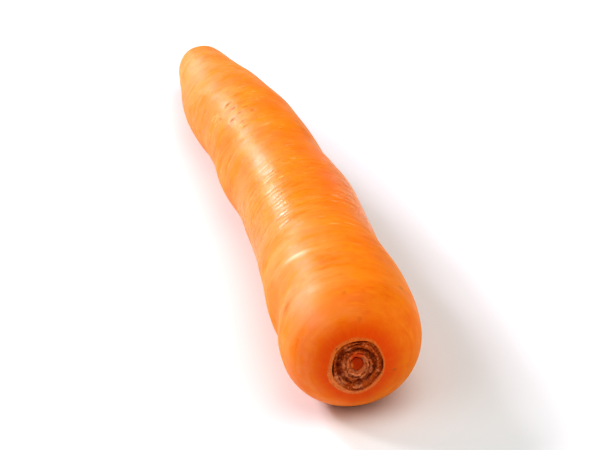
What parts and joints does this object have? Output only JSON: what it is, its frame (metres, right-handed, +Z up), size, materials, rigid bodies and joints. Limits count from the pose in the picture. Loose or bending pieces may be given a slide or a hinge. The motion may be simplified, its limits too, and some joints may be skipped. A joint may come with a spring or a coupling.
{
  "type": "carrot",
  "caption": "Plump orange carrot with a blunt tip and a round crown, its leaves cut off, lying on its side.",
  "frame": {"origin": "on the surface that the carrot rests on, under the middle of its bounding box", "axes": "+X along the root, towards the crown; +Y to its side; +Z up"},
  "size_m": [0.1762, 0.0354, 0.0336],
  "materials": {
    "carrot_skin": "waxy skin, satin, slightly translucent, with cross creases",
    "dry_leaf_stalk": "dry, matt, fibrous, brown with near-black gaps"
  },
  "bodies": {
    "root": {"carrot_root": "carrot_skin", "leaf_stalk_stubs": "dry_leaf_stalk"}
  },
  "joints": []
}
